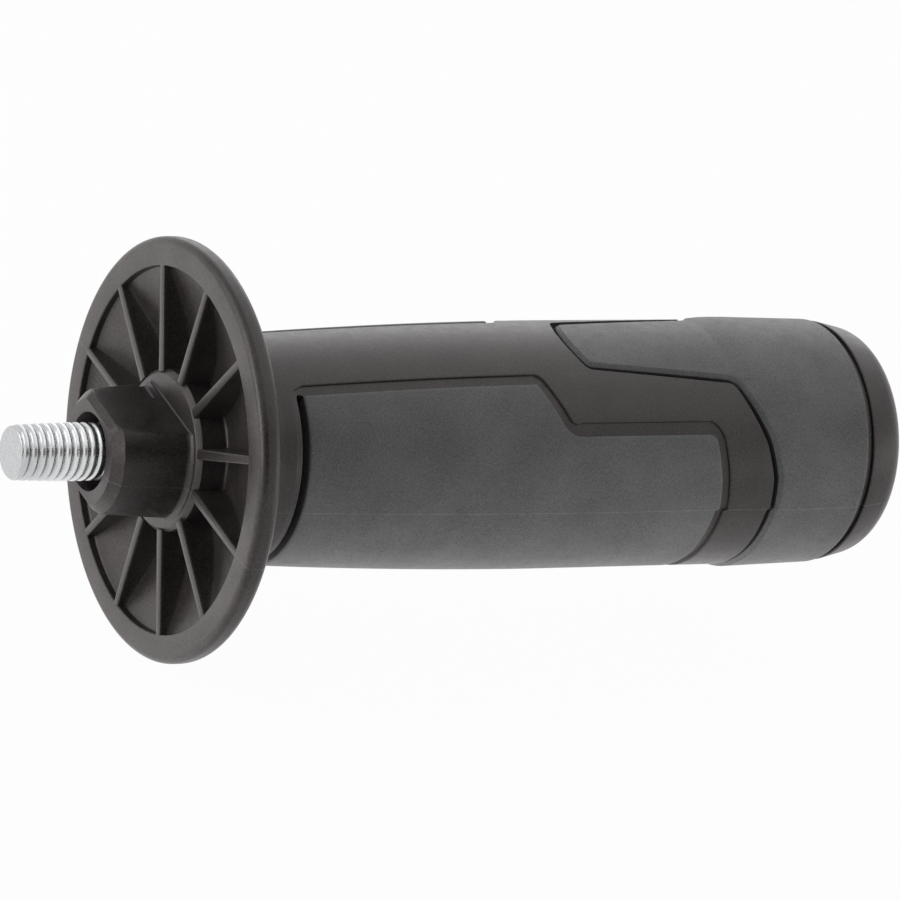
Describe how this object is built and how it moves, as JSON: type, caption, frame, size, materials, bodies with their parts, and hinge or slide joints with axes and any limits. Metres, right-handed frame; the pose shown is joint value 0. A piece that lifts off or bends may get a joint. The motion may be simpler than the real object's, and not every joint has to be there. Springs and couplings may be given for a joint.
{
  "type": "power tool side handle",
  "caption": "Screw-in side handle for a small angle grinder: threaded stud, ribbed guard flange and a swelling two-tone soft grip.",
  "frame": {"origin": "centre of the boss's front face, which seats on the tool", "axes": "+X runs along the handle from the seat to the rounded end, and the stud points to -X. +Z is the top of the grip, where the black band and the tongue lie. The grip mirrors across the XZ plane."},
  "size_m": [0.136, 0.0584, 0.0584],
  "materials": {
    "black_plastic": "fine matt grain",
    "grey_soft_grip": "matt",
    "zinc_steel": "bright zinc plate"
  },
  "bodies": {
    "root": {"handle_body": "black_plastic", "threaded_stud": "zinc_steel", "palm_grip_panel": "grey_soft_grip", "end_grip_sleeve": "grey_soft_grip"}
  },
  "joints": []
}
